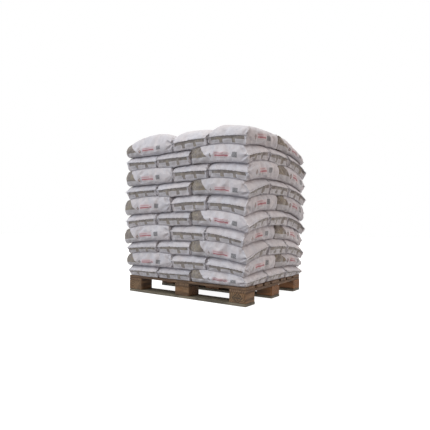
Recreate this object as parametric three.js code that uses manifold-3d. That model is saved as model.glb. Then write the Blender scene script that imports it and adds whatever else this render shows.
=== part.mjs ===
// A loaded pallet: ten layers of seven filled film sacks on a four-way wooden block pallet.
// Millimetres, +Z up. The origin is the middle of the pallet's underside, which stands on the floor.
// +X runs along the pallet's long side and +Y runs to its back.

import * as THREE from 'three';
import * as BufferGeometryUtils from 'three/addons/utils/BufferGeometryUtils.js';
import Module from 'manifold-3d';

const wasm = await Module();
wasm.setup();

// Pallet
const palletLength = 1200;
const palletDepth = 1000;
const boardThickness = 22;
const wideBoard = 145;
const narrowBoard = 100;
const blockLength = 145;
const blockDepth = 138;
const blockHeight = 78;
const deckBoardWidths = [
  wideBoard, narrowBoard, narrowBoard, wideBoard, narrowBoard, narrowBoard, wideBoard
];

const blockFoot = boardThickness;
const stringerFoot = blockFoot + blockHeight;
const deckFoot = stringerFoot + boardThickness;
const deckTop = deckFoot + boardThickness;

// Sacks
const sackLength = 540;
const sackWidth = 360;
const stackFront = -536;
const endsLeftStart = -630;
const sideLeftStart = -650;
const layerSlide = [5, 12, 6, -2, 7, 12, 8, 22, 4, 14];
// Size of each layer's sacks as a share of the full size: the lower ones lie closer together
const layerShare = [0.965, 0.98, 0.98, 0.993, 0.993, 1, 1, 1, 1, 1];
const placeJitter = 3;

// Height of the top of each layer over the middle of the stack, and how far it sags at the corners
const seams = [
  { middle: 241, frontLeft: 7, frontRight: 31, backLeft: 25, backRight: 46 },
  { middle: 356, frontLeft: 18, frontRight: 68, backLeft: 40, backRight: 89 },
  { middle: 472, frontLeft: 46, frontRight: 63, backLeft: 50, backRight: 99 },
  { middle: 594, frontLeft: 30, frontRight: 78, backLeft: 50, backRight: 109 },
  { middle: 708, frontLeft: 17, frontRight: 79, backLeft: 45, backRight: 104 },
  { middle: 835, frontLeft: 3, frontRight: 67, backLeft: 40, backRight: 80 },
  { middle: 952, frontLeft: -9, frontRight: 64, backLeft: 35, backRight: 86 },
  { middle: 1080, frontLeft: -18, frontRight: 65, backLeft: 30, backRight: 92 },
  { middle: 1205, frontLeft: -24, frontRight: 60, backLeft: 25, backRight: 85 },
  { middle: 1314, frontLeft: 0, frontRight: 30, backLeft: 30, backRight: 120 }
];
const sagPower = 2.6;
const topSagPower = 1.1;
const leanPerLayer = 3.3;

// Shape of one sack: how far its rims reach in above and below the ridge, how far they bulge out,
// and how round they are, from 1 for a flat slope
const rims = {
  seal: { top: 54, foot: 20, bulge: 4, roundness: 1.2 },
  nose: { top: 44, foot: 30, bulge: 4, roundness: 2.3 },
  side: { top: 18, foot: 34, bulge: 10, roundness: 2.3 },
  pressed: { top: 13, foot: 11, bulge: 4, roundness: 2.1 }
};
const shoulder = 0.8; // share of the rise at which a rim has its extra row of corners
const cornerPull = 7;
const pinch = 10; // how far the sides fold in beside the seal, away from the ridge
const pinchReach = 65;
const ridgeLevel = 0.62;
const topCrowns = [78, 50, 66, 54, 94, 60, 50]; // height of the crown of each uncovered sack
const topSkews = [-0.2, 0, -0.6, 0, 0, 0, 0]; // how much higher one side of it is
const crownAlong = 2.6;
const crownAcross = 4;
const deckGap = 0.3;
const seamGap = 0.1;
const seamRelief = 7;

// Faces of a sack along, across and up
const sackDivisions = [4, 2, 4];
const topDivisions = [6, 4, 4];

const stackHalfX = (sackLength + 2 * sackWidth) / 2;
const stackHalfY = 1.5 * sackWidth;

const woodMaterial = () => new THREE.MeshStandardMaterial({
  color: 0x7d6750,
  roughness: 0.85,
  metalness: 0
});

const weatheredMaterial = () => new THREE.MeshStandardMaterial({
  color: 0x6a5e50,
  roughness: 0.9,
  metalness: 0
});

const filmMaterial = () => new THREE.MeshStandardMaterial({
  color: 0xcfccd1,
  roughness: 0.42,
  metalness: 0
});

const pallet = new THREE.Group();
const load = new THREE.Group();
const loadedPallet = new THREE.Group();
loadedPallet.add(pallet, load);

// A sawn piece of wood, given by its size and the middle of its underside
function addTimber(name, size, foot, material) {
  const timber = new THREE.Mesh(new THREE.BoxGeometry(...size), material);
  timber.name = name;
  timber.position.set(foot[0], foot[1], foot[2] + size[2] / 2);
  pallet.add(timber);
}

// Three equal places along a length, the outer two flush with its ends
function threePlaces(length, pieceSize) {
  const outer = (length - pieceSize) / 2;
  return [-outer, 0, outer];
}

function addBottomBoards() {
  const rows = ['front', 'middle', 'back'];
  threePlaces(palletDepth, wideBoard).forEach((y, row) => {
    const size = [palletLength, wideBoard, boardThickness];
    addTimber(`bottom_board_${rows[row]}`, size, [0, y, 0], weatheredMaterial());
  });
}

function addBlocks() {
  const rows = ['front', 'middle', 'back'];
  const columns = ['left', 'centre', 'right'];
  const size = [blockLength, blockDepth, blockHeight];
  threePlaces(palletDepth, blockDepth).forEach((y, row) => {
    threePlaces(palletLength, blockLength).forEach((x, column) => {
      addTimber(`block_${rows[row]}_${columns[column]}`, size, [x, y, blockFoot], woodMaterial());
    });
  });
}

function addStringerBoards() {
  const columns = ['left', 'centre', 'right'];
  threePlaces(palletLength, wideBoard).forEach((x, column) => {
    const size = [wideBoard, palletDepth, boardThickness];
    addTimber(`stringer_board_${columns[column]}`, size, [x, 0, stringerFoot], woodMaterial());
  });
}

function addDeckBoards() {
  const boardSum = deckBoardWidths.reduce((sum, width) => sum + width, 0);
  const boardGap = (palletDepth - boardSum) / (deckBoardWidths.length - 1);
  let front = -palletDepth / 2;
  deckBoardWidths.forEach((width, index) => {
    const size = [palletLength, width, boardThickness];
    addTimber(`deck_board_${index + 1}`, size, [0, front + width / 2, deckFoot], woodMaterial());
    front += width + boardGap;
  });
}

// 0 on the two middle lines of the stack, and 1 at its corners
function cornerShare(x, y) {
  return Math.abs(x * y) / (stackHalfX * stackHalfY);
}

// Seam 0 is the deck, seam 10 the top of the stack. A seam leans up towards +X and sags at the corners.
function seamAt(seam, x, y) {
  if (seam === 0) {
    return deckTop;
  }
  const { middle, frontLeft, frontRight, backLeft, backRight } = seams[seam - 1];
  const frontSag = x > 0 ? frontRight : frontLeft;
  const backSag = x > 0 ? backRight : backLeft;
  const power = seam === seams.length ? topSagPower : sagPower;
  const sag = (y < 0 ? frontSag : backSag) * cornerShare(x, y) ** power;
  return middle + leanPerLayer * seam * (x / stackHalfX) - sag;
}

// The clearance that a layer keeps to a seam: next to none on the deck and in the middle of the
// stack, and a little more towards the corners, where the seam is curved
function seamClearance(seam, x, y) {
  if (seam === 0) {
    return deckGap;
  }
  return seamGap + seamRelief * cornerShare(x, y);
}

// Sacks of one layer: two columns of two lie across the pallet, and three lie along it beside them.
// The layers alternate, so that each one bonds the layer below. The sealed ends of the two columns
// face out, and those of the three sacks face +X. A place along a sack grows towards its seal.
function sacksOfLayer(layer) {
  const endsLeft = layer % 2 === 1;
  const share = layerShare[layer - 1];
  const length = share * sackLength;
  const width = share * sackWidth;
  const front = share * stackFront;
  const start = share * (endsLeft ? endsLeftStart : sideLeftStart) + layerSlide[layer - 1];
  const acrossStart = endsLeft ? start : start + length;
  const alongStart = endsLeft ? start + 2 * width : start;
  const sacks = [];
  for (let column = 0; column < 2; column += 1) {
    const isOuter = column === (endsLeft ? 0 : 1);
    for (let row = 0; row < 2; row += 1) {
      const outward = row === 0 ? -1 : 1;
      const x = acrossStart + (column + 0.5) * width;
      const y = front + (row + 0.5) * length;
      const outerSide = endsLeft === (row === 0) ? 'low' : 'high';
      const ends = { seal: rims.seal, nose: rims.pressed, low: rims.pressed, high: rims.pressed };
      if (isOuter) {
        ends[outerSide] = rims.side;
      }
      sacks.push({ x, y, length, width, axis: [0, outward], ends });
    }
  }
  for (let row = 0; row < 3; row += 1) {
    const x = alongStart + length / 2;
    const y = front + (row + 0.5) * width;
    const ends = {
      seal: endsLeft ? rims.seal : rims.pressed,
      nose: endsLeft ? rims.pressed : rims.nose,
      low: row === 0 ? rims.side : rims.pressed,
      high: row === 2 ? rims.side : rims.pressed
    };
    sacks.push({ x, y, length, width, axis: [1, 0], ends });
  }
  sacks.forEach((sack, index) => {
    sack.crown = topCrowns[index];
    sack.skew = topSkews[index];
    sack.x += placeJitter * Math.sin(layer * 2.3 + index * 4.1);
    sack.y += placeJitter * Math.sin(layer * 3.7 + index * 1.9);
  });
  return sacks;
}

// How far in from its widest a rim lies, at a share of the rise from the ridge to the top or foot
function insetAt(rim, level) {
  const reach = level > 0 ? rim.top : rim.foot;
  const round = rim.roundness;
  return reach * (1 - (1 - Math.abs(level) ** round) ** (1 / round));
}

// A filled sack: a pillow with a ridge around its middle, pressed flat on its top and its foot
function sackForm(sack, layer) {
  const isTop = layer === seams.length;
  const form = new THREE.BoxGeometry(2, 2, 2, ...(isTop ? topDivisions : sackDivisions));
  form.deleteAttribute('normal');
  form.deleteAttribute('uv');
  const points = form.attributes.position;
  const { ends, axis } = sack;
  for (let index = 0; index < points.count; index += 1) {
    const u = points.getX(index);
    const v = points.getY(index);
    const row = points.getZ(index);
    const level = Math.abs(row) === 0.5 ? Math.sign(row) * shoulder : row;
    const end = u > 0 ? ends.seal : ends.nose;
    const side = v > 0 ? ends.high : ends.low;
    let along = u * sack.length / 2;
    let across = v * sack.width / 2;
    if (Math.abs(u) === 1) {
      along += u * (end.bulge - insetAt(end, level) - cornerPull * Math.abs(v) ** 8);
    }
    if (Math.abs(v) === 1) {
      across += v * (side.bulge - insetAt(side, level) - cornerPull * Math.abs(u) ** 8);
      const toSeal = Math.max(0, 1 - (sack.length / 2 - along) / pinchReach);
      across -= v * pinch * Math.min(1, toSeal) * Math.abs(level);
    }
    const x = sack.x + along * axis[0] - across * axis[1];
    const y = sack.y + along * axis[1] + across * axis[0];
    const crown = isTop ? crownAt(sack, along / (sack.length / 2), across / (sack.width / 2)) : 0;
    const top = seamAt(layer, x, y) - seamClearance(layer, x, y) + crown;
    const foot = seamAt(layer - 1, x, y) + seamClearance(layer - 1, x, y);
    const ridge = foot + ridgeLevel * (top - foot);
    const half = level > 0 ? top - ridge : ridge - foot;
    points.setXYZ(index, x, y, ridge + half * level);
  }
  return BufferGeometryUtils.mergeVertices(form);
}

// An uncovered sack stands highest in its middle, and falls off more along its length
function crownAt(sack, along, across) {
  const slope = Math.max(0, 1 - Math.abs(along) ** crownAlong);
  const height = sack.crown * (1 + sack.skew * across);
  return height * slope * Math.max(0, 1 - Math.abs(across) ** crownAcross);
}

function toSolid(geometry) {
  return new wasm.Manifold(new wasm.Mesh({
    numProp: 3,
    vertProperties: new Float32Array(geometry.attributes.position.array),
    triVerts: new Uint32Array(geometry.index.array)
  }));
}

function toGeometry(solid) {
  const mesh = solid.getMesh();
  const geometry = new THREE.BufferGeometry();
  geometry.setAttribute('position', new THREE.BufferAttribute(mesh.vertProperties, 3));
  geometry.setIndex(new THREE.BufferAttribute(mesh.triVerts, 1));
  geometry.computeVertexNormals();
  return geometry;
}

// The seven sacks of a layer press on each other around their middles and part above and below
function addSackLayer(layer) {
  const forms = sacksOfLayer(layer).map((sack) => toSolid(sackForm(sack, layer)));
  const joined = forms.reduce((sum, form) => sum.add(form));
  const mesh = new THREE.Mesh(toGeometry(joined), filmMaterial());
  mesh.name = `sack_layer_${String(layer).padStart(2, '0')}`;
  load.add(mesh);
}

addBottomBoards();
addBlocks();
addStringerBoards();
addDeckBoards();
for (let layer = 1; layer <= seams.length; layer += 1) {
  addSackLayer(layer);
}

export default loadedPallet;
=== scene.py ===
import math

import bpy
import numpy as np
from mathutils import Matrix, Vector, noise


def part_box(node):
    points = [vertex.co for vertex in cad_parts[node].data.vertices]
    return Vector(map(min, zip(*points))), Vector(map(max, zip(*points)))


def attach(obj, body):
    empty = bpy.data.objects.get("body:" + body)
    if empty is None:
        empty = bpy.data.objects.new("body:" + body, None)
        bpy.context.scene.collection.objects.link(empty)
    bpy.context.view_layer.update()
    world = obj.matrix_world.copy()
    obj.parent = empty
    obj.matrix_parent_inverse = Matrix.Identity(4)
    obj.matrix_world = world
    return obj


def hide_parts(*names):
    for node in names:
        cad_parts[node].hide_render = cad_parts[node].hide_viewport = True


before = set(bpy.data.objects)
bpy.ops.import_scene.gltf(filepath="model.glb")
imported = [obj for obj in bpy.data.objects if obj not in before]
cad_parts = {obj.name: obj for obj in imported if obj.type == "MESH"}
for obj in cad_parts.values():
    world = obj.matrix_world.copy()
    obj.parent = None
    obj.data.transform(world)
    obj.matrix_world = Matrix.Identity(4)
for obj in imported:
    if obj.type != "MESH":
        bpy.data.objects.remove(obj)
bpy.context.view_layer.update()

print("frame loaded, with", len(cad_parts), "nodes")

# Camera

cameraView = {
    "place": (2.0955, -3.0935, 0.6224),  # metres, from the middle of the pallet's underside
    "heading": 34.37,  # degrees from +Y towards -X
    "tilt": 1.0,  # degrees above the horizon
    "roll": 0.54,  # degrees, with the right side up
    "lens": 34.07,  # millimetres on the sensor below
    "sensor": 36.0,
}


def makeCamera(view):
    heading = math.radians(view["heading"])
    tilt = math.radians(view["tilt"])
    roll = math.radians(view["roll"])
    forward = Vector((
        -math.sin(heading) * math.cos(tilt),
        math.cos(heading) * math.cos(tilt),
        math.sin(tilt),
    ))
    level = Vector((math.cos(heading), math.sin(heading), 0.0))
    upright = level.cross(forward)
    right = level * math.cos(roll) + upright * math.sin(roll)
    up = upright * math.cos(roll) - level * math.sin(roll)
    lens = bpy.data.cameras.new("camera")
    lens.lens = view["lens"]
    lens.sensor_width = view["sensor"]
    lens.clip_end = 100.0
    camera = bpy.data.objects.new("camera", lens)
    turn = Matrix((right, up, -forward)).transposed().to_4x4()
    camera.matrix_world = Matrix.Translation(view["place"]) @ turn
    bpy.context.scene.collection.objects.link(camera)
    bpy.context.scene.camera = camera


makeCamera(cameraView)
print("camera placed")

# Shader sums


class Wire:
    # A socket in a shader. Values go through Math nodes, colours and vectors through Mix and Vector Math
    tree = None

    def __init__(self, socket):
        self.socket = socket

    @classmethod
    def node(cls, kind, settings=None, inputs=None, output=0):
        made = cls.tree.nodes.new("ShaderNode" + kind)
        for name, value in (settings or {}).items():
            if name == "stops":
                cls.setStops(made.color_ramp, value)
            else:
                setattr(made, name, value)
        for name, value in (inputs or {}).items():
            cls.feed(made.inputs[name], value)
        return cls(made.outputs[output])

    @staticmethod
    def setStops(ramp, stops):
        while len(ramp.elements) < len(stops):
            ramp.elements.new(0.5)
        for element, (place, shade) in zip(ramp.elements, stops):
            element.position = place
            element.color = (*shade, 1.0)

    @classmethod
    def feed(cls, socket, value):
        if isinstance(value, Wire):
            cls.tree.links.new(value.socket, socket)
        else:
            socket.default_value = value

    def math(self, operation, *others):
        values = {place: value for place, value in enumerate((self, *others))}
        return self.node("Math", {"operation": operation}, values)

    def __add__(self, other):
        return self.math("ADD", other)

    def __radd__(self, other):
        return self.math("ADD", other)

    def __sub__(self, other):
        return self.math("SUBTRACT", other)

    def __rsub__(self, other):
        return self.node("Math", {"operation": "SUBTRACT"}, {0: other, 1: self})

    def __mul__(self, other):
        return self.math("MULTIPLY", other)

    def __rmul__(self, other):
        return self.math("MULTIPLY", other)

    def __pow__(self, other):
        return self.math("POWER", other)

    def size(self):
        return self.math("ABSOLUTE")

    def least(self, other):
        return self.math("MINIMUM", other)

    def most(self, other):
        return self.math("MAXIMUM", other)

    def above(self, edge, soft=0.0008):
        # 0 below an edge and 1 above it, with a soft step between
        return self.node(
            "MapRange",
            {"interpolation_type": "SMOOTHSTEP"},
            {"Value": self, "From Min": edge - soft, "From Max": edge + soft},
        )

    def between(self, low, high, soft=0.0008):
        return self.above(low, soft) * (1 - self.above(high, soft))

    def spread(self, low, high, newLow=0.0, newHigh=1.0):
        inputs = {"Value": self, "From Min": low, "From Max": high, "To Min": newLow, "To Max": newHigh}
        return self.node("MapRange", None, inputs)

    def parts(self):
        separate = self.tree.nodes.new("ShaderNodeSeparateXYZ")
        self.feed(separate.inputs[0], self)
        return [Wire(output) for output in separate.outputs]

    def scaled(self, factors):
        return self.node("VectorMath", {"operation": "MULTIPLY"}, {0: self, 1: factors})

    def moved(self, offset):
        return self.node("VectorMath", {"operation": "ADD"}, {0: self, 1: offset})


def blendColours(share, first, second, way="MIX"):
    settings = {"data_type": "RGBA", "blend_type": way}
    return Wire.node("Mix", settings, {0: share, 6: first, 7: second}, 2)


def joinVector(x, y, z):
    return Wire.node("CombineXYZ", None, {0: x, 1: y, 2: z})


def attributeOf(name, output="Vector"):
    return Wire.node("Attribute", {"attribute_name": name}, None, output)


def noiseOf(place, scale, detail=3.0, rough=0.5, twist=0.0):
    inputs = {"Vector": place, "Scale": scale, "Detail": detail, "Roughness": rough, "Distortion": twist}
    return Wire.node("TexNoise", None, inputs)


def startMaterial(name):
    material = bpy.data.materials.new(name)
    material.use_nodes = True
    material.node_tree.nodes.clear()
    Wire.tree = material.node_tree
    return material


def finishMaterial(sockets):
    shader = Wire.node("BsdfPrincipled", None, sockets)
    output = Wire.tree.nodes.new("ShaderNodeOutputMaterial")
    Wire.feed(output.inputs["Surface"], shader)


# Meshes


def makePiece(name, points, faces):
    mesh = bpy.data.meshes.new(name)
    mesh.from_pydata([tuple(point) for point in points], [], faces)
    piece = bpy.data.objects.new(name, mesh)
    bpy.context.scene.collection.objects.link(piece)
    return piece


def storeValues(mesh, name, values):
    # A number or a vector for each corner of a mesh, which its material reads
    kind, field = ("FLOAT", "value") if values.ndim == 1 else ("FLOAT_VECTOR", "vector")
    stored = mesh.attributes.new(name, kind, "POINT")
    stored.data.foreach_set(field, values.astype(np.float32).ravel())


# Where the sacks lie

stack = {
    "sackLength": 0.54,
    "sackWidth": 0.36,
    "front": -0.536,
    "endsLeftStart": -0.63,  # left edge of a layer whose two columns of sacks lie left
    "sideLeftStart": -0.65,  # left edge of a layer whose three sacks lie left
    "layerSlide": (0.005, 0.012, 0.006, -0.002, 0.007, 0.012, 0.008, 0.022, 0.004, 0.014),
    "layerShare": (0.965, 0.98, 0.98, 0.993, 0.993, 1.0, 1.0, 1.0, 1.0, 1.0),  # size of its sacks
    "placeJitter": 0.003,
    "lean": 0.0033,  # rise of each seam towards +X, more with each layer
    "sagPower": 2.6,
    "topSagPower": 1.1,
    "crown": 0.03,  # how far the middle of a sack stands above its ends
    "crownPowers": (2.1, 7.0),  # how flat the crown is along and across the sack
    "topCrowns": (0.078, 0.05, 0.066, 0.054, 0.083, 0.06, 0.05),  # of each uncovered sack
    "topSkews": (-0.2, 0.0, -0.6, 0.0, 0.0, 0.0, 0.0),  # how much higher one side of it is
    "topPowers": (2.6, 6.5),
    "topKeep": 0.2,  # share of the crown that is left at an end which a neighbour presses on
    "seamGap": 0.0008,
    # Height of each seam over the middle, and how far it sags at the four corners of the stack
    "seams": (
        {"middle": 0.235, "frontLeft": 0.007, "frontRight": 0.031, "backLeft": 0.025, "backRight": 0.046},
        {"middle": 0.350, "frontLeft": 0.018, "frontRight": 0.068, "backLeft": 0.04, "backRight": 0.089},
        {"middle": 0.466, "frontLeft": 0.046, "frontRight": 0.063, "backLeft": 0.05, "backRight": 0.099},
        {"middle": 0.588, "frontLeft": 0.03, "frontRight": 0.078, "backLeft": 0.05, "backRight": 0.109},
        {"middle": 0.702, "frontLeft": 0.017, "frontRight": 0.079, "backLeft": 0.045, "backRight": 0.104},
        {"middle": 0.829, "frontLeft": 0.003, "frontRight": 0.067, "backLeft": 0.04, "backRight": 0.08},
        {"middle": 0.946, "frontLeft": -0.009, "frontRight": 0.064, "backLeft": 0.035, "backRight": 0.086},
        {"middle": 1.074, "frontLeft": -0.018, "frontRight": 0.065, "backLeft": 0.03, "backRight": 0.092},
        {"middle": 1.199, "frontLeft": -0.024, "frontRight": 0.06, "backLeft": 0.025, "backRight": 0.085},
        {"middle": 1.314, "frontLeft": 0.0, "frontRight": 0.03, "backLeft": 0.03, "backRight": 0.12},
    ),
}

layerNodes = sorted(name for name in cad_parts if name.startswith("sack_layer"))
stackHalfX = stack["sackLength"] / 2 + stack["sackWidth"]
stackHalfY = 1.5 * stack["sackWidth"]
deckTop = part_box("deck_board_1")[1].z


def noiseAlong(x, y, z):
    return np.array([noise.noise((i, j, k)) for i, j, k in zip(x, y, z)])


def sacksOfLayer(layer):
    # Two columns of two sacks lie across the pallet, and three sacks lie along it beside them
    share = stack["layerShare"][layer - 1]
    length = share * stack["sackLength"]
    width = share * stack["sackWidth"]
    front = share * stack["front"]
    endsLeft = layer % 2 == 1
    start = share * (stack["endsLeftStart"] if endsLeft else stack["sideLeftStart"])
    start += stack["layerSlide"][layer - 1]
    acrossStart = start if endsLeft else start + length
    alongStart = start + 2 * width if endsLeft else start
    sacks = []
    for column in range(2):
        outer = column == (0 if endsLeft else 1)
        for row in range(2):
            sacks.append({
                "x": acrossStart + (column + 0.5) * width,
                "y": front + (row + 0.5) * length,
                "turn": -90 if row == 0 else 90,  # the sealed end faces out
                "freeSeal": True,
                "freeNose": False,
                "freeLow": outer and endsLeft == (row == 0),
                "freeHigh": outer and endsLeft == (row == 1),
            })
    for row in range(3):
        sacks.append({
            "x": alongStart + length / 2,
            "y": front + (row + 0.5) * width,
            "turn": 0,
            "freeSeal": endsLeft,
            "freeNose": not endsLeft,
            "freeLow": row == 0,
            "freeHigh": row == 2,
        })
    for index, sack in enumerate(sacks):
        sack["gridX"] = sack["x"]
        sack["gridY"] = sack["y"]
        sack["x"] += stack["placeJitter"] * math.sin(layer * 2.3 + index * 4.1)
        sack["y"] += stack["placeJitter"] * math.sin(layer * 3.7 + index * 1.9)
        sack["length"] = length
        sack["width"] = width
        sack["ridgeTilt"] = sackShape["ridgeTilt"] * math.sin(layer * 1.3 + index * 2.7)
        if sack["turn"] == 0 and sack["freeLow"]:
            sack["ridgeTilt"] += 2 * sackShape["ridgeTilt"]  # the corner of the stack sags
        sack["layer"] = layer
        sack["name"] = f"sack_{layer:02d}_{index + 1}"
        sack["seed"] = 7.0 * layer + 1.7 * index
    return sacks


def crownHeight(seam, x, y):
    # The sacks under a seam stand highest in their middles
    height = np.zeros_like(x)
    isTop = seam == len(layerNodes)
    powers = stack["topPowers"] if isTop else stack["crownPowers"]
    for index, sack in enumerate(sacksOfLayer(seam)):
        crown = stack["topCrowns"][index] if isTop else stack["crown"]
        isAlongX = sack["turn"] == 0
        along = (x - sack["x"] if isAlongX else y - sack["y"]) / (sack["length"] / 2)
        across = (y - sack["y"] if isAlongX else x - sack["x"]) / (sack["width"] / 2)
        fall = 1.0
        if isTop:
            crown = crown * (1 + stack["topSkews"][index] * across)
            pressedWay = -1 if sack["turn"] == 90 else 1
            fall = 1 - stack["topKeep"] * (along * pressedWay > 0)
        slope = 1 - fall * np.clip(np.abs(along), 0, 1) ** powers[0]
        slope = slope * (1 - np.clip(np.abs(across), 0, 1) ** powers[1])
        height = np.maximum(height, crown * slope)
    return height


def seamHeight(seam, x, y):
    # Height at points x, y of the seam above a layer, which sags towards the corners of the stack
    if seam == 0:
        return np.full_like(x, deckTop)
    look = stack["seams"][seam - 1]
    front = np.where(x > 0, look["frontRight"], look["frontLeft"])
    back = np.where(x > 0, look["backRight"], look["backLeft"])
    corner = np.abs(x * y) / (stackHalfX * stackHalfY)
    power = stack["topSagPower"] if seam == len(layerNodes) else stack["sagPower"]
    droop = np.where(y < 0, front, back) * corner ** power
    lean = stack["lean"] * seam * x / stackHalfX
    return look["middle"] + lean - droop + crownHeight(seam, x, y)


# Shape of a sack

sackShape = {
    "cells": (50, 34, 16),  # along, across and up
    "crowding": 0.4,  # how much smaller the cells are at the rims
    "ridgeRow": 10,  # row of cells at which the ridge around the sack lies
    "sealTop": 0.054,  # reach of the slope above the ridge at the sealed end
    "sealFoot": 0.02,
    "noseTop": 0.044,
    "noseFoot": 0.03,
    "sideTop": 0.018,
    "sideFoot": 0.034,
    "pressedTop": 0.013,
    "pressedFoot": 0.011,
    "innerSealTop": 0.02,  # at a sealed end that a neighbour presses on
    "innerSealFoot": 0.016,
    "topReach": 0.95,  # how much wider the rounding of an uncovered sack is
    "sealRound": 1.2,  # roundness of each rim, from 1 for a flat slope
    "topSealRound": 1.5,  # above the seal of an uncovered sack
    "noseRound": 2.3,
    "sideRound": 2.3,
    "planRound": 4.0,
    "sideBulge": 0.01,
    "endBulge": 0.004,
    "pinch": 0.01,  # how far the sides fold in beside the seal, away from the ridge
    "pinchReach": 0.065,
    "pressedReach": 0.06,  # the same where a neighbour presses on the side
    "pressedBulge": 0.003,
    "valley": 0.011,  # how far such a side stands back beside the seal
    "noseTurn": 0.02,  # how far a free side turns in towards a nose that a neighbour presses on
    "fold": 0.0055,  # height of the folds that spread from the seal's ends
    "foldLong": 0.06,
    "foldSpread": 8.0,  # how close together they lie
    "tuck": 0.011,  # depth of the two creases that run from the seal's ends over each side
    "tuckWide": 0.007,
    "tuckLong": 0.075,
    "tuckLevels": (0.98, 0.16),  # levels at which the creases end, away from the seal
    "ridgeTilt": 0.05,  # how much the seal's height differs from one corner to the other
    "squareness": 0.45,  # of the corners at the seal
    "squareFade": 0.8,  # how much of it is gone at the top and the foot
    "ear": 0.005,  # how far the seal stands out beyond the sides
    "fullHeight": 0.118,
    "dent": 0.004,  # slow dents over the whole sack
    "dentScales": (9.0, 14.0),  # per metre, level and upright
    "crease": 0.0015,  # sharper creases
    "creaseScales": (26.0, 38.0),
    "finLength": 0.009,
    "finEars": 0.5,  # how much longer it is at its two ends
    "finFlutter": 0.25,
    "finThick": 0.0012,
    "printShift": 0.034,  # how much nearer its nose the print of a sack with a free nose lies
}


def cubeSkin(cells):
    # Corners and faces of a divided cube from -1 to 1, with the faces pointing out
    places = {}
    faces = []
    for axis in range(3):
        one, two = (other for other in range(3) if other != axis)
        for side in (0, cells[axis]):
            outward = (side > 0) == (axis != 1)
            for i in range(cells[one]):
                for j in range(cells[two]):
                    quad = []
                    for stepOne, stepTwo in ((0, 0), (1, 0), (1, 1), (0, 1)):
                        place = [0, 0, 0]
                        place[axis] = side
                        place[one] = i + stepOne
                        place[two] = j + stepTwo
                        quad.append(places.setdefault(tuple(place), len(places)))
                    faces.append(quad if outward else quad[::-1])
    return np.array(list(places)), faces


def easeToRims(part, crowding):
    return part + crowding * np.sin(np.pi * part) / np.pi


def sackReach(sack, a, b, part):
    # How far in from each rim the rounding reaches, along and across
    shape = sackShape
    along = np.where(
        a > 0,
        shape["seal" + part] if sack["freeSeal"] else shape["innerSeal" + part],
        shape["nose" + part] if sack["freeNose"] else shape["pressed" + part],
    )
    across = np.where(
        b > 0,
        shape["side" + part] if sack["freeHigh"] else shape["pressed" + part],
        shape["side" + part] if sack["freeLow"] else shape["pressed" + part],
    )
    return along, across


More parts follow.
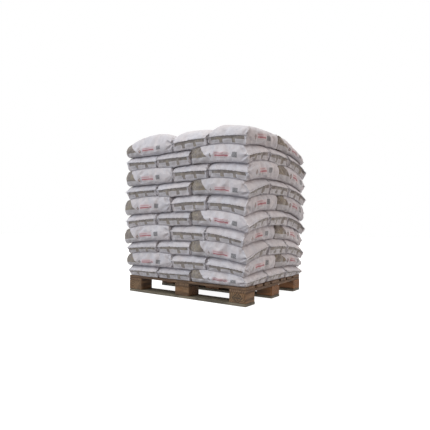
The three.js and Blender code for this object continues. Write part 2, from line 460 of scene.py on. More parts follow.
def formSack(skin, sack, isTop):
    # Places of the skin's corners, as metres along and across and a level from 0 to 1, and how far
    # out on an end or a side each corner lies
    shape = sackShape
    halfLength = sack["length"] / 2
    halfWidth = sack["width"] / 2
    a, b, c = skin.T
    ridge = shape["ridgeRow"] / shape["cells"][2]
    level = (c + 1) / 2
    isUpper = level > ridge
    rise = np.where(isUpper, (level - ridge) / (1 - ridge), (ridge - level) / ridge)
    topAlong, topAcross = sackReach(sack, a, b, "Top")
    footAlong, footAcross = sackReach(sack, a, b, "Foot")
    crown = shape["topReach"] if isTop else 1.0
    reachAlong = np.where(isUpper, crown * topAlong, footAlong)
    reachAcross = np.where(isUpper, crown * topAcross, footAcross)
    coreAlong = halfLength - reachAlong
    coreAcross = halfWidth - reachAcross
    along = np.abs(a) * halfLength
    across = np.abs(b) * halfWidth
    outAlong = np.clip((along - coreAlong) / reachAlong, 0, 1)
    outAcross = np.clip((across - coreAcross) / reachAcross, 0, 1)
    share = outAlong ** 2 / (outAlong ** 2 + outAcross ** 2 + 1e-9)
    sealRound = np.where(isUpper & isTop, shape["topSealRound"], shape["sealRound"])
    endRound = np.where(a > 0, sealRound, shape["noseRound"])
    roundness = shape["sideRound"] + (endRound - shape["sideRound"]) * share
    rim = np.clip((outAlong ** 4 + outAcross ** 4) ** 0.25, 0, 1)
    shrink = (rim ** roundness + rise ** roundness) ** (-1 / roundness)
    widest = np.maximum(outAlong, outAcross)
    power = shape["planRound"]
    corner = (outAlong ** power + outAcross ** power) ** (1 / power)
    plan = np.where(corner > 0, widest / np.maximum(corner, 1e-9), 1.0)
    # The corners are square where the seal runs, and round above and below it
    freeEnd = np.where(a > 0, sack["freeSeal"], sack["freeNose"])
    square = shape["squareness"] * (1 - shape["squareFade"] * rise) * freeEnd * (a > 0)
    plan = plan + (1 - plan) * square
    along = np.minimum(along, coreAlong) + reachAlong * outAlong * shrink * plan
    across = np.minimum(across, coreAcross) + reachAcross * outAcross * shrink * plan
    rise = rise * shrink
    freeSide = np.where(b > 0, sack["freeHigh"], sack["freeLow"])
    across = across + freeSide * shape["sideBulge"] * (1 - a ** 2) * (1 - rise ** 2) * outAcross
    along = along + freeEnd * shape["endBulge"] * (1 - b ** 2) * (1 - rise ** 2) * outAlong
    across = across + (1 - freeSide) * shape["pressedBulge"] * outAcross
    pinchReach = np.where(freeSide, shape["pinchReach"], shape["pressedReach"])
    toSeal = np.clip(1 - (halfLength - along) / pinchReach, 0, 1) * (a > 0)
    fold = shape["ear"] * (1 - rise) ** 2 - shape["pinch"] * rise ** 0.8
    across = across + fold * toSeal * outAcross
    across = across - (1 - freeSide) * shape["valley"] * toSeal ** 2 * outAcross
    level = np.where(isUpper, ridge + (1 - ridge) * rise, ridge * (1 - rise))
    toNose = np.clip(1 - (halfLength - along) / pinchReach, 0, 1) * (a < 0) * (1 - freeEnd)
    across = across - freeSide * shape["noseTurn"] * toNose ** 2 * outAcross
    fromSeal = halfLength - along
    across = across - tuckDepth(fromSeal, level, ridge) * (a > 0) * outAcross ** 2
    turnOfFold = np.arctan2((level - ridge) * shape["fullHeight"], fromSeal + 0.012)
    folds = np.sin(shape["foldSpread"] * turnOfFold + 2.1 * sack["seed"] + 1.5 * b)
    folds = folds * np.exp(-((fromSeal / shape["foldLong"]) ** 2))
    across = across + shape["fold"] * folds * (a > 0) * outAcross ** 2 * np.clip(fromSeal / 0.012, 0, 1)
    prints = np.stack((np.sign(a) * along, np.sign(b) * across, level), axis=1)
    ridge = ridge + sack["ridgeTilt"] * b
    level = np.where(isUpper, ridge + (1 - ridge) * rise, ridge * (1 - rise))
    places = np.stack((np.sign(a) * along, np.sign(b) * across, level), axis=1)
    sides = np.stack((np.sign(a) * outAlong, np.sign(b) * outAcross, rise), axis=1)
    return places, sides, prints


def tuckDepth(fromSeal, level, ridge):
    # Depth of the creases above and below the ridge, from the seal's end towards the middle
    shape = sackShape
    height = shape["fullHeight"]
    depth = np.zeros_like(level)
    for endLevel in shape["tuckLevels"]:
        run = np.clip(fromSeal / shape["tuckLong"], 0, 1)
        line = ridge + (endLevel - ridge) * run ** 1.3
        near = np.exp(-((level - line) * height / shape["tuckWide"]) ** 2)
        fade = np.sin(np.pi * np.clip(fromSeal / shape["tuckLong"], 0, 1) ** 0.6)
        depth = np.maximum(depth, near * fade)
    return depth * shape["tuck"]


def finStrip(ridgePoints, count):
    # A thin closed strip out from the ridge of the sealed end
    shape = sackShape
    points = []
    for index, place in enumerate(ridgePoints):
        toEnd = abs(2 * index / (len(ridgePoints) - 1) - 1)
        flutter = shape["finFlutter"] * noise.noise((9.0 * place[1], place[0], 3.0 * place[2]))
        out = shape["finLength"] * (0.9 + flutter) * (1 + shape["finEars"] * toEnd ** 6)
        drop = shape["finLength"] * (0.5 + flutter)
        root = Vector(place) - Vector((0.003, 0, 0))
        tip = Vector(place) + Vector((out, 0, -drop))
        half = Vector((0, 0, shape["finThick"] / 2))
        points += [root + half, tip + half, tip - half, root - half]
    faces = []
    for step in range(len(ridgePoints) - 1):
        for edge in range(4):
            low = count + 4 * step + edge
            high = count + 4 * step + (edge + 1) % 4
            faces.append((low, low + 4, high + 4, high))
    faces.append(tuple(count + edge for edge in range(4)))
    last = count + 4 * (len(ridgePoints) - 1)
    faces.append(tuple(last + edge for edge in (3, 2, 1, 0)))
    return np.array(points), faces


def cornerNormals(points, faces):
    quads = np.array(faces)
    sides = points[quads]
    across = np.cross(sides[:, 2] - sides[:, 0], sides[:, 3] - sides[:, 1])
    normals = np.zeros_like(points)
    for corner in range(4):
        np.add.at(normals, quads[:, corner], across)
    return normals / np.maximum(np.linalg.norm(normals, axis=1, keepdims=True), 1e-12)


# Wrinkles of the film, from sacks of cloth under pressure

cloth = {
    "coveredKinds": 4,  # simulated sacks for the covered layers
    "topKinds": 2,  # and for the uncovered one
    "frames": 18,
    "quality": 5,
    "mass": 0.1,
    "pressure": 4.0,
    "growth": 0.08,  # how much larger the film is than the filling
    "tension": 12.0,
    "bending": 0.01,
    "startDent": 0.005,  # unevenness that the wrinkles start from
    "startScale": 16.0,
    "evenings": 24,  # how often the offsets are evened out to find the swelling that is left out
    "cap": 0.012,
    "pressedShare": 0.35,  # wrinkles on a side that presses on its neighbour
    "endShare": 0.75,  # and on an end
    "sealGain": 0.8,  # how much deeper they are at the seal's corners
}


def evenOut(values, quads, times):
    # Each corner takes the mean of the corners of the faces around it
    counts = np.zeros(len(values))
    for corner in range(4):
        np.add.at(counts, quads[:, corner], 1.0)
    for _ in range(times):
        middles = values[quads].mean(axis=1)
        sums = np.zeros_like(values)
        for corner in range(4):
            np.add.at(sums, quads[:, corner], middles)
        values = sums / counts[:, None]
    return values


def makeTrial(start, faces, hold):
    trial = makePiece("clothSack", start, faces)
    held = trial.vertex_groups.new(name="held")
    for index in np.nonzero(hold)[0]:
        held.add([int(index)], float(hold[index]), "REPLACE")
    modifier = trial.modifiers.new("cloth", "CLOTH")
    settings = modifier.settings
    settings.quality = cloth["quality"]
    settings.mass = cloth["mass"]
    settings.vertex_group_mass = held.name
    settings.use_pressure = True
    settings.uniform_pressure_force = cloth["pressure"]
    settings.shrink_min = -cloth["growth"]
    settings.tension_stiffness = cloth["tension"]
    settings.compression_stiffness = cloth["tension"]
    settings.shear_stiffness = cloth["tension"] / 3
    settings.bending_stiffness = cloth["bending"]
    settings.effector_weights.gravity = 0.0
    modifier.collision_settings.use_collision = False
    modifier.collision_settings.use_self_collision = False
    return trial


def simulateWrinkles(skin, faces, kind, isTop):
    # Offsets along, across and up of each corner of a sack whose film is a little too large
    sack = {"freeSeal": True, "freeNose": True, "freeLow": True, "freeHigh": True}
    sack.update(length=stack["sackLength"], width=stack["sackWidth"], ridgeTilt=0.0, seed=0.0)
    base, sides, _ = formSack(skin, sack, isTop)
    rim = np.maximum(np.abs(sides[:, 0]), np.abs(sides[:, 1]))
    isFlat = (rim == 0) & ((skin[:, 2] < 0) | (not isTop))
    isSeal = (skin[:, 0] == 1) & (np.abs(sides[:, 2]) < 0.01)
    base[:, 2] *= sackShape["fullHeight"]
    place = base * cloth["startScale"] + 31.0 * kind
    dent = noiseAlong(*place.T) * cloth["startDent"]
    start = base + cornerNormals(base, faces) * dent[:, None]
    trial = makeTrial(start, faces, np.where(isFlat, 1.0, 0.0) + np.where(isSeal, 0.9, 0.0))
    for frameNumber in range(1, cloth["frames"] + 1):
        bpy.context.scene.frame_set(frameNumber)
    settled = trial.evaluated_get(bpy.context.evaluated_depsgraph_get()).data
    points = np.empty(len(base) * 3, np.float32)
    settled.vertices.foreach_get("co", points)
    offset = points.reshape(-1, 3) - base
    mesh = trial.data
    bpy.data.objects.remove(trial)
    bpy.data.meshes.remove(mesh)
    wrinkles = offset - evenOut(offset, np.array(faces), cloth["evenings"])
    reach = np.linalg.norm(wrinkles, axis=1, keepdims=True)
    print("cloth sack", kind, "settled, reach", round(float(np.percentile(reach, 95)), 4))
    return wrinkles * np.minimum(1.0, cloth["cap"] / np.maximum(reach, 1e-9))


def addWrinkles(points, sack, wrinkles, bare, sides, turn):
    freeSide = np.where(sides[:, 1] > 0, sack["freeHigh"], sack["freeLow"])
    isEnd = np.abs(sides[:, 0]) > 0.5
    share = np.where(isEnd, cloth["endShare"], np.where(freeSide, 1.0, cloth["pressedShare"])) * bare
    share = share * (1 + cloth["sealGain"] * np.clip(sides[:, 0], 0, 1) * np.abs(sides[:, 1]))
    x = wrinkles[:, 0] * math.cos(turn) - wrinkles[:, 1] * math.sin(turn)
    y = wrinkles[:, 0] * math.sin(turn) + wrinkles[:, 1] * math.cos(turn)
    return points + np.stack((x, y, wrinkles[:, 2]), axis=1) * share[:, None]


def keepClear(points, sack, isTop):
    # What presses on a neighbour stays on its own side of the line or the seam between them
    turn = math.radians(sack["turn"])
    forward = np.array((math.cos(turn), math.sin(turn)))
    sideways = np.array((-math.sin(turn), math.cos(turn)))
    middle = np.array((sack["gridX"], sack["gridY"]))
    along = (points[:, :2] - middle) @ forward
    across = (points[:, :2] - middle) @ sideways
    gap = stack["seamGap"] / 2
    halfLength = sack["length"] / 2 - gap
    halfWidth = sack["width"] / 2 - gap
    if not sack["freeSeal"]:
        along = np.minimum(along, halfLength)
    if not sack["freeNose"]:
        along = np.maximum(along, -halfLength)
    if not sack["freeHigh"]:
        across = np.minimum(across, halfWidth)
    if not sack["freeLow"]:
        across = np.maximum(across, -halfWidth)
    x, y = middle[:, None] + forward[:, None] * along + sideways[:, None] * across
    z = np.maximum(points[:, 2], seamHeight(sack["layer"] - 1, x, y) + gap)
    if not isTop:
        z = np.minimum(z, seamHeight(sack["layer"], x, y) - gap)
    return np.stack((x, y, z), axis=1)


def buildSack(sack, skin, skinPlaces, skinFaces, wrinkles, material):
    shape = sackShape
    isTop = sack["layer"] == len(layerNodes)
    cells = shape["cells"]
    formed, sides, prints = formSack(skin, sack, isTop)
    turn = math.radians(sack["turn"])
    x = sack["x"] + formed[:, 0] * math.cos(turn) - formed[:, 1] * math.sin(turn)
    y = sack["y"] + formed[:, 0] * math.sin(turn) + formed[:, 1] * math.cos(turn)
    low = seamHeight(sack["layer"] - 1, x, y) + stack["seamGap"] / 2
    high = seamHeight(sack["layer"], x, y) - stack["seamGap"] / 2
    points = np.stack((x, y, low + formed[:, 2] * (high - low)), axis=1)
    normals = cornerNormals(points, skinFaces)
    # Dents and creases move the skin in, and leave alone what the sacks above and below press flat
    bare = 1 - np.clip(np.abs(normals[:, 2]) * 1.6 - 0.6, 0, 1)
    if isTop:
        bare = np.where(skin[:, 2] > 0, 1.0, bare)
    seed = sack["seed"]
    level, upright = shape["dentScales"]
    dents = noiseAlong(x * level + seed, y * level, points[:, 2] * upright)
    level, upright = shape["creaseScales"]
    ridges = 1 - np.abs(noiseAlong(x * level + seed, y * level, points[:, 2] * upright)) * 2
    shift = (dents - 0.35) * shape["dent"] - np.clip(ridges, 0, 1) ** 3 * shape["crease"]
    points = points + normals * (shift * bare)[:, None]
    if wrinkles is not None:
        points = addWrinkles(points, sack, wrinkles, bare, sides, turn)
    points = keepClear(points, sack, isTop)
    faces = list(skinFaces)
    if sack["freeSeal"]:
        isRidge = (skinPlaces[:, 0] == cells[0]) & (skinPlaces[:, 2] == shape["ridgeRow"])
        order = np.nonzero(isRidge)[0]
        order = order[np.argsort(skinPlaces[order, 1])]
        outward = Matrix.Rotation(turn, 3, "Z")
        local = [outward.inverted() @ Vector(points[index]) for index in order]
        strip, stripFaces = finStrip(local, len(points))
        strip = np.array([outward @ Vector(place) for place in strip])
        points = np.concatenate((points, strip))
        prints = np.concatenate((prints, np.repeat(prints[order], 4, axis=0) + (0, 0, 0.1)))
        sides = np.concatenate((sides, np.repeat(sides[order], 4, axis=0)))
        faces += stripFaces
    if sack["freeNose"]:
        prints[:, 0] += shape["printShift"]
    piece = makePiece(sack["name"], points, faces)
    piece.data.shade_smooth()
    piece.data.materials.append(material)
    storeValues(piece.data, "sackPlace", prints)
    storeValues(piece.data, "sackSide", sides)
    storeValues(piece.data, "sackSeed", np.full(len(points), seed))
    return piece


# Film of the sacks, with a plain print

film = {
    "white": (0.62, 0.625, 0.665, 1.0),
    "warmWhite": (0.66, 0.63, 0.638, 1.0),
    "shade": (0.52, 0.505, 0.525, 1.0),
    "tuckHighlight": (0.84, 0.84, 0.87, 1.0),  # painted highlight on the crumpled film at the seal's corners, which also lifts the shade there
    "fleck": (0.25, 0.24, 0.24, 1.0),  # small shaded folds in it
    "taupe": (0.235, 0.207, 0.182, 1.0),
    "taupeDark": (0.16, 0.137, 0.12, 1.0),
    "gold": (0.27, 0.23, 0.165, 1.0),
    "pale": (0.5, 0.49, 0.5, 1.0),
    # painted glints of the glossy, crumpled film in the taupe near the nose
    "speckAndGlint": (0.58, 0.53, 0.44, 1.0),
    "red": (0.42, 0.15, 0.17, 1.0),
    "blush": (0.64, 0.52, 0.53, 1.0),  # pale ground of the red stripes
    "grey": (0.12, 0.125, 0.13, 1.0),
    "tint": 0.05,  # how much lighter or darker one sack is than another
    "roughness": 0.34,
    # How fine each pattern is, per metre
    "castScale": 7,
    "mottleScale": 24,
    "blotScale": 55,
    "fleckScale": 75,
    "speckScale": 130,
    "crumpleScale": 34,
    "puckerScale": 22,
    # The print, in metres from the left end of a side and as levels from 0 to 1
    "fieldEnd": 0.165,
    "fieldSlant": 0.13,
    "fieldFoot": 0.42,
    "lozenge": (0.205, 0.48, 0.022),
    "stripes": ((0.245, 0.330, 0.60, 0.67), (0.245, 0.368, 0.44, 0.54)),
    "rule": (0.245, 0.350, 0.345, 0.375),
    "patch": (0.405, 0.448, 0.40, 0.71),
    "ground": (0.236, 0.380, 0.38, 0.72),
    "hatch": 0.0062,  # step of the patch's lines
    # On an end, from its middle outwards
    "endBand": (0.40, 0.60, 0.150),
    "endTab": (0.040, 0.072, 0.10, 0.44),
    "endBoxes": (0.032, 0.080, 0.140, 0.14, 0.34),
    "endRules": 0.07,
    # On the broad faces, in metres along and across
    "faceFieldEnd": 0.05,
    "faceLozenge": (0.33, 0.022, 0.042),
    "faceStripes": ((0.13, 0.24, -0.042, -0.018), (0.13, 0.27, 0.0, 0.036)),
}


def sidePrint(look, reading, height, edge):
    # Where the taupe, the red and the grey of a side lie
    middle, level, reach = look["lozenge"]
    lozenge = (reading - middle).size() * 1.6 + (height - level).size() * 0.12
    rim = lozenge.between(reach * 0.45, reach)
    stripes = [
        (reading + edge * 0.3).between(start, end) * height.between(low, high, 0.012)
        for start, end, low, high in look["stripes"]
    ]
    start, end, low, high = look["rule"]
    dashes = (reading * (2 * math.pi / 0.009)).math("SINE").above(-0.3, 0.2)
    rule = reading.between(start, end) * height.between(low, high, 0.008) * dashes
    start, end, low, high = look["patch"]
    patch = reading.between(start, end) * height.between(low, high, 0.012)
    hatch = ((reading + height * 0.12) * (2 * math.pi / look["hatch"])).math("SINE").above(-0.45, 0.3)
    red = (stripes[0] * 0.5).most(stripes[1]).most(1 - lozenge.above(reach * 0.3))
    return rim.most(rule * 0.6), red, patch * (hatch * 0.6 + 0.4)


def endPrint(look, wide, height):
    # Where the taupe band and the pale boxes of a sealed end lie
    low, high, reach = look["endBand"]
    band = (height + wide * 0.35).between(low, high, 0.015) * (1 - wide.above(reach))
    start, end, low, high = look["endTab"]
    tab = height.between(low, high, 0.012) * wide.between(start, end)
    inner, start, end, low, high = look["endBoxes"]
    box = height.between(low, high, 0.012) * ((1 - wide.above(inner)).most(wide.between(start, end)))
    rules = (height * (2 * math.pi / look["endRules"])).math("SINE").above(0.55, 0.3)
    return band.most(tab), box * (1 - rules * 0.45)


def facePrint(look, along, across):
    # Where the taupe and the red of the broad faces lie, as on the sides but larger
    reading = along + stack["sackLength"] / 2
    field = 1 - (reading + across * 0.28).above(look["faceFieldEnd"])
    middle, inner, outer = look["faceLozenge"]
    reach = (reading - middle).size() + across.size()
    lozenge = reach.between(inner, outer, 0.001)
    stripes = [
        reading.between(start, end) * across.between(low, high, 0.001)
        for start, end, low, high in look["faceStripes"]
    ]
    return field.most(lozenge), stripes[0].most(stripes[1])


def filmMaterial(look):
    material = startMaterial("sackFilm")
    along, across, height = attributeOf("sackPlace").parts()
    outAlong, outAcross, rise = attributeOf("sackSide").parts()
    seed = attributeOf("sackSeed", "Fac")
    isSeal = outAlong.above(0.0)
    isEnd = (outAlong.size() - outAcross.size()).above(0.0, 0.01) * outAlong.size().above(0.3, 0.01)
    isSide = (1 - isEnd) * outAcross.size().above(0.3, 0.01)
    isFace = (1 - isEnd) * (1 - isSide)
    isLow = 1 - across.above(0.0, 0.001)
    # Reading along each side goes from its left end, in metres
    halfLength = stack["sackLength"] / 2
    reading = (along + halfLength) * isLow + (halfLength + 0.09 - along) * (1 - isLow)
    place = joinVector(along, across, height * 0.12)
    blot = noiseOf(place.moved(joinVector(seed, seed * 0.7, 0.0)), look["blotScale"], 5, 0.65)
    mottle = noiseOf(place.moved(joinVector(seed, 0.0, 0.0)), look["mottleScale"], 6, 0.7)
    edge = (blot - 0.5) * 0.012
    band = (height + edge * 3).above(look["fieldFoot"], 0.01)
    field = 1 - (reading + (height - 0.5) * look["fieldSlant"] + edge).above(look["fieldEnd"])
    field = (isSide * field * isLow).most(isEnd * (1 - isSeal))
    sideTaupe, sideRed, sideGrey = sidePrint(look, reading, height, edge)
    endTaupe, endBox = endPrint(look, across.size(), height)
    faceTaupe, faceRed = facePrint(look, along, across)
    worn = blot.spread(0.2, 0.5, 0.75, 1.0)
    cast = noiseOf(place.moved(joinVector(seed * 1.3, seed, 0.0)), look["castScale"], 2, 0.5)
    colour = blendColours(cast.spread(0.38, 0.62), look["white"], look["warmWhite"])
    colour = blendColours(mottle.spread(0.35, 0.7), colour, look["shade"])
    taupe = blendColours(blot.spread(0.35, 0.65), look["taupe"], look["taupeDark"])
    taupe = blendColours(mottle.spread(0.48, 0.62), taupe, look["gold"])
    # Painted glints: small light specks in the taupe near the nose, where the glossy film is crumpled
    speckAndGlint = noiseOf(place.moved(joinVector(seed, seed, 0.0)), look["speckScale"], 2, 0.6)
    speckAndGlint = speckAndGlint.spread(0.54, 0.64)
    nearNose = 1 - (along + halfLength).above(0.08, 0.06)
    taupe = blendColours(speckAndGlint * field * nearNose * 0.6, taupe, look["speckAndGlint"])
    endTaupe = endTaupe * mottle.spread(0.35, 0.6, 1.0, 0.86)
    inTaupe = (field * band).most(isSide * sideTaupe)
    inTaupe = inTaupe.most(isEnd * isSeal * endTaupe).most(isFace * faceTaupe)
    colour = blendColours(inTaupe, colour, taupe)
    colour = blendColours((field * (1 - band)).most(isEnd * isSeal * endBox), colour, look["pale"])
    start, end, low, high = look["ground"]
    ground = (reading + edge).between(start, end, 0.01) * height.between(low, high, 0.05)
    colour = blendColours(isSide * ground * 0.7, colour, look["blush"])
    colour = blendColours((isSide * sideRed).most(isFace * faceRed) * worn, colour, look["red"])
    colour = blendColours(isSide * sideGrey * worn, colour, look["grey"])
    # Painted light at the seal's corners: a painted highlight over the crumpled film there, with painted
    # shade of small folds in it
    isTuck = (outAlong * outAcross.size()).spread(0.35, 0.9)
    colour = blendColours(isTuck * 0.8, colour, look["tuckHighlight"])
    fleck = noiseOf(place.moved(joinVector(seed, 0.0, seed * 1.7)), look["fleckScale"], 3, 0.6)
    fleck = fleck.spread(0.54, 0.66)
    colour = blendColours(isTuck * fleck * 0.8, colour, look["fleck"])
    tint = (seed * 2.9).math("SINE") * look["tint"] + 1.0
    colour = blendColours(1.0, colour, joinVector(tint, tint, tint), "MULTIPLY")
    crumpled = place.scaled((1.0, 1.0, 2.0)).moved(joinVector(seed, 0.0, seed))
    crumple = noiseOf(crumpled, look["crumpleScale"], 5, 0.55, 0.6)
    pucker = noiseOf(place.moved(joinVector(0.0, seed, seed)), look["puckerScale"], 2, 0.5, 1.2)
    pucker = 1 - (pucker - 0.5).size() * 6
    relief = (crumple + pucker.most(0.0) * 0.35) * (isTuck * 0.8 + 1.0)
    finishMaterial({
        "Base Color": colour,
        "Roughness": crumple.spread(0.2, 0.8, look["roughness"] - 0.08, look["roughness"] + 0.12),
        "Normal": Wire.node("Bump", None, {"Strength": 0.6, "Distance": 0.004, "Height": relief}),
    })
    return material


def layLoad():
    skinPlaces, skinFaces = cubeSkin(sackShape["cells"])
    skin = skinPlaces / np.array(sackShape["cells"]) * 2.0 - 1.0
    skin[:, :2] = easeToRims(skin[:, :2], sackShape["crowding"])
    covered = [None]
    uncovered = [None]
    kinds = range(cloth["coveredKinds"])
    covered = [simulateWrinkles(skin, skinFaces, kind, False) for kind in kinds]
    kinds = range(cloth["topKinds"])
    uncovered = [simulateWrinkles(skin, skinFaces, kind, True) for kind in kinds]
    material = filmMaterial(film)
    for layer, node in enumerate(layerNodes, start=1):
        kinds = uncovered if layer == len(layerNodes) else covered
        for index, sack in enumerate(sacksOfLayer(layer)):
            wrinkles = kinds[(index + layer) % len(kinds)]
            piece = buildSack(sack, skin, skinPlaces, skinFaces, wrinkles, material)
            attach(piece, "root")
            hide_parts(node)
        print("layer", layer, "laid")


layLoad()

# Wood of the pallet

wood = {
    "rounding": 0.0028,  # of the sawn edges
    "chip": 0.0035,  # how much deeper the worn places of an edge go
    "warp": 0.0009,
    "cellAlong": 0.018,
    "cellAcross": 0.0095,
    "ringStep": 0.0165,
    "pithReach": 0.03,  # how far from a piece's middle the middle of its tree may lie
    # How fine each pattern is, per metre
    "fibreScale": 6.0,  # along the grain, and 23 times as fine across it
    "patchScale": 7.0,
    "stainScale": 9.0,
    "speckScale": 160.0,
    "dirt": (0.03, 0.024, 0.018, 1.0),
    "endGrainFront": ("block_front_left", "block_front_right", "block_middle_centre"),
    "marked": "block_front_right",  # carries a plain burnt mark on its front
    "markSize": 0.05,
    "innerRust": 0.85,  # how rusty the blocks behind the front row are
    # Light, dark and rusty tone of each kind
    "kinds": {
        "deck_wood": ((0.24, 0.148, 0.078, 1.0), (0.07, 0.04, 0.022, 1.0), (0.2, 0.105, 0.065, 1.0)),
        "block_wood": ((0.248, 0.154, 0.074, 1.0), (0.062, 0.034, 0.015, 1.0), (0.3, 0.122, 0.035, 1.0)),
        "weathered_board": ((0.21, 0.18, 0.125, 1.0), (0.06, 0.053, 0.037, 1.0), (0.15, 0.14, 0.09, 1.0)),
    },
}


def woodMaterial(kind):
    # Growth rings around the middle of the tree, which run along the piece and show on its ends
    light, dark, rusty = wood["kinds"][kind]
    material = startMaterial(kind)
    place = attributeOf("woodPlace")
    tone, rust, _ = attributeOf("woodTone").parts()
    along, across, up = place.parts()
    wander = noiseOf(place.scaled((1.6, 6.0, 6.0)), 2.0, 3, 0.5)
    radius = (across * across + up * up) ** 0.5 + (wander - 0.5) * 0.03
    ring = (radius * (2 * math.pi / wood["ringStep"])).math("SINE") * 0.5 + 0.5
    ring = ring ** 1.8
    fibre = noiseOf(place.scaled((3.0, 70.0, 70.0)), wood["fibreScale"], 4, 0.65)
    stain = noiseOf(place.scaled((1.0, 2.0, 2.0)), wood["stainScale"], 5, 0.65)
    speckAndGlint = noiseOf(place, wood["speckScale"], 2, 0.5)
    grain = ring * 0.75 + (fibre - 0.5) * 1.7 + 0.06
    patch = noiseOf(place, wood["patchScale"], 2, 0.5)
    colour = blendColours(patch.spread(0.42, 0.62, 0.0, 0.35).most(rust), light, rusty)
    colour = blendColours(grain.most(0.0).least(1.0), colour, dark)
    colour = blendColours(stain.spread(0.45, 0.68, 0.0, 0.7), colour, dark)
    colour = blendColours(stain.spread(0.6, 0.75, 0.0, 0.8), colour, wood["dirt"])
    colour = blendColours(speckAndGlint.spread(0.62, 0.75, 0.0, 0.5), colour, wood["dirt"])
    colour = blendColours(markShade() * (fibre.spread(0.3, 0.6) * 0.25 + 0.7), colour, wood["dirt"])
    colour = blendColours(1.0, colour, joinVector(tone, tone, tone), "MULTIPLY")
    height = fibre * 0.7 + ring * 0.25 + stain * 0.5
    finishMaterial({
        "Base Color": colour,
        "Roughness": fibre.spread(0.2, 0.8, 0.7, 0.92),
        "Normal": Wire.node("Bump", None, {"Strength": 0.7, "Distance": 0.0022, "Height": height}),
    })
    return material


def markShade():
    # A diamond with a bar across it, burnt into the front of one block
    sideways, up, isMarked = attributeOf("woodMark").parts()
    size = wood["markSize"]
    reach = sideways.size() + up.size()
    frameLine = reach.between(size * 0.72, size * 0.88, 0.0015)
    bar = up.between(size * -0.09, size * 0.09, 0.0015) * (1 - reach.above(size * 0.55, 0.0015))
    dots = (sideways.size() + (up.size() - size * 0.3).size()).between(-1.0, size * 0.11, 0.0015)
    return frameLine.most(bar).most(dots) * isMarked.above(0.9, 0.05)


def edgeSteps(length, cell):
    # Places along one side of a board, with extra ones at the rounded edges
    rim = wood["rounding"]
    inner = np.linspace(rim, length - rim, max(3, round(length / cell)) + 1)
    return np.concatenate(([0.0, rim * 0.4], inner, [length - rim * 0.4, length]))


def buildTimber(name, kind, index, material):
    low, high = (np.array(corner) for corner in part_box(name))
    size = high - low
    grain = int(np.argmax(size))
    if kind == "block_wood":
        grain = 1 if name in wood["endGrainFront"] else 0
    cells = [wood["cellAlong"] if axis == grain else wood["cellAcross"] for axis in range(3)]
    steps = [edgeSteps(size[axis], cells[axis]) for axis in range(3)]
    places, faces = cubeSkin([len(step) - 1 for step in steps])
    flat = np.stack([steps[axis][places[:, axis]] for axis in range(3)], axis=1) + low
    seed = 5.3 * index
    rim = wood["rounding"]
    core = np.clip(flat, low + rim, high - rim)
    out = flat - core
    length = np.linalg.norm(out, axis=1, keepdims=True)
    isEdge = (np.count_nonzero(np.abs(out) > 1e-6, axis=1) > 1)[:, None]
    out = out / np.maximum(length, 1e-9)
    wear = noiseAlong(*(flat * 17 + seed).T) + 0.6 * noiseAlong(*(flat * 60 + seed).T)
    chip = np.clip(wear, 0, 1) ** 2 * wood["chip"] * 2
    warp = (noiseAlong(*(flat * 5 + seed).T) + 1) * wood["warp"]
    points = core + out * (rim - warp[:, None] - isEdge * chip[:, None])
    piece = makePiece(name + "_wood", points, faces)
    piece.data.shade_smooth()
    piece.data.materials.append(material)
    pith = np.array([math.sin(seed * 1.7), 0.55 * math.sin(seed * 2.9)]) * wood["pithReach"]
    across = [axis for axis in range(3) if axis != grain]
    middle = (low + high) / 2
    local = points - middle
    woodPlace = np.stack(
        (local[:, grain] + seed, local[:, across[0]] - pith[0], local[:, across[1]] - pith[1]), axis=1
    )
    storeValues(piece.data, "woodPlace", woodPlace)
    isMarked = (flat[:, 1] == low[1]) & (name == wood["marked"])
    woodMark = np.stack((local[:, 0], local[:, 2], isMarked.astype(float)), axis=1)
    storeValues(piece.data, "woodMark", woodMark)
    # Tone and rust of the whole piece
    rust = wood["innerRust"] if name.startswith(("block_middle", "block_back")) else 0.0
    woodTone = np.tile((1.0 + 0.12 * math.sin(seed * 4.3), rust, 0.0), (len(points), 1))
    storeValues(piece.data, "woodTone", woodTone)
    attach(piece, "root")
    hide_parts(name)


def buildPallet():
    materials = {kind: woodMaterial(kind) for kind in wood["kinds"]}
    timbers = [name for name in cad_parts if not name.startswith("sack_layer")]
    for index, name in enumerate(sorted(timbers)):
        kind = "deck_wood"
        if name.startswith("block"):
            kind = "block_wood"
        elif name.startswith("bottom_board"):
            kind = "weathered_board"
        buildTimber(name, kind, index, materials[kind])


buildPallet()
print("pallet built")

# Floor and light

studio = {
    "floorSize": 30.0,
    "floorTone": (0.4, 0.4, 0.4, 1.0),
    "floorGlow": 0.94,
    "backdrop": (1.0, 1.0, 1.0, 1.0),  # what the picture shows of the sky
    # What lights the load from each side
    "backTone": (0.9, 0.79, 0.755, 1.0),
    "frontTone": (0.81, 0.865, 0.97, 1.0),
    "rightLow": (0.29, 0.175, 0.12, 1.0),
    "rightHigh": (0.7, 0.53, 0.44, 1.0),
    "zenith": (1.27, 1.27, 1.27, 1.0),
    "belowTone": (0.26, 0.25, 0.255, 1.0),
    "keyPlace": (-2.0, -4.0, 4.5),
    "keySize": 3.0,
    "keyPower": 60.0,
    "aim": (0.0, 0.0, 0.6),
}


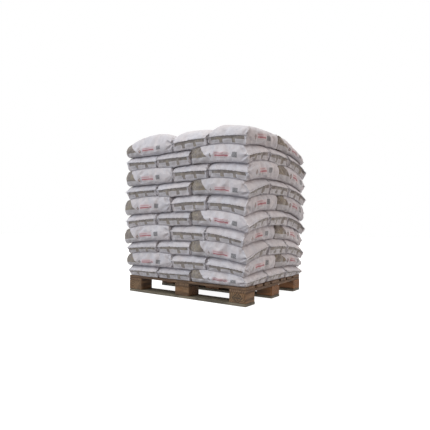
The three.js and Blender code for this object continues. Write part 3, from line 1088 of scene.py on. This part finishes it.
def makeFloor(look):
    half = look["floorSize"] / 2
    corners = [(-half, -half, 0), (half, -half, 0), (half, half, 0), (-half, half, 0)]
    floor = makePiece("floor", corners, [(0, 1, 2, 3)])
    floor.location.z = -0.0005
    material = startMaterial("paleFloor")
    speckAndGlint = noiseOf(Wire.node("TexCoord", None, None, "Object"), 3, 3, 0.5)
    shade = tuple(0.97 * part for part in look["floorTone"])
    finishMaterial({
        "Base Color": blendColours(speckAndGlint, look["floorTone"], shade),
        "Roughness": 0.8,
        "Emission Color": (1.0, 1.0, 1.0, 1.0),
        "Emission Strength": look["floorGlow"],
    })
    floor.data.materials.append(material)
    floor.visible_diffuse = False  # it stays white in the picture and throws no light up at the load


def makeSky(look):
    world = bpy.data.worlds.new("studio")
    world.use_nodes = True
    world.node_tree.nodes.clear()
    Wire.tree = world.node_tree
    rightward, backward, upward = Wire.node("TexCoord", None, None, "Generated").parts()
    rightSky = blendColours(upward.spread(0.0, 0.5), look["rightLow"], look["rightHigh"])
    sky = blendColours(rightward.spread(-0.2, 0.7), look["frontTone"], rightSky)
    sky = blendColours(backward.spread(-0.1, 0.2), sky, look["backTone"])
    sky = blendColours(upward.spread(0.3, 0.9), sky, look["zenith"])
    sky = blendColours((0 - upward).spread(0.05, 0.4), sky, look["belowTone"])
    isSeen = Wire.node("LightPath", None, None, "Is Camera Ray")
    sky = blendColours(isSeen, sky, look["backdrop"])
    background = Wire.node("Background", None, {"Color": sky})
    output = Wire.tree.nodes.new("ShaderNodeOutputWorld")
    Wire.feed(output.inputs["Surface"], background)
    bpy.context.scene.world = world


def makeLamp(look):
    lamp = bpy.data.lights.new("key", "AREA")
    lamp.size = look["keySize"]
    lamp.energy = look["keyPower"]
    key = bpy.data.objects.new("key", lamp)
    key.location = look["keyPlace"]
    aim = Vector(look["aim"]) - Vector(look["keyPlace"])
    key.rotation_euler = aim.to_track_quat("-Z", "Y").to_euler()
    bpy.context.scene.collection.objects.link(key)


makeFloor(studio)
makeSky(studio)
makeLamp(studio)
bpy.context.scene.view_settings.view_transform = "Standard"
print("studio made")
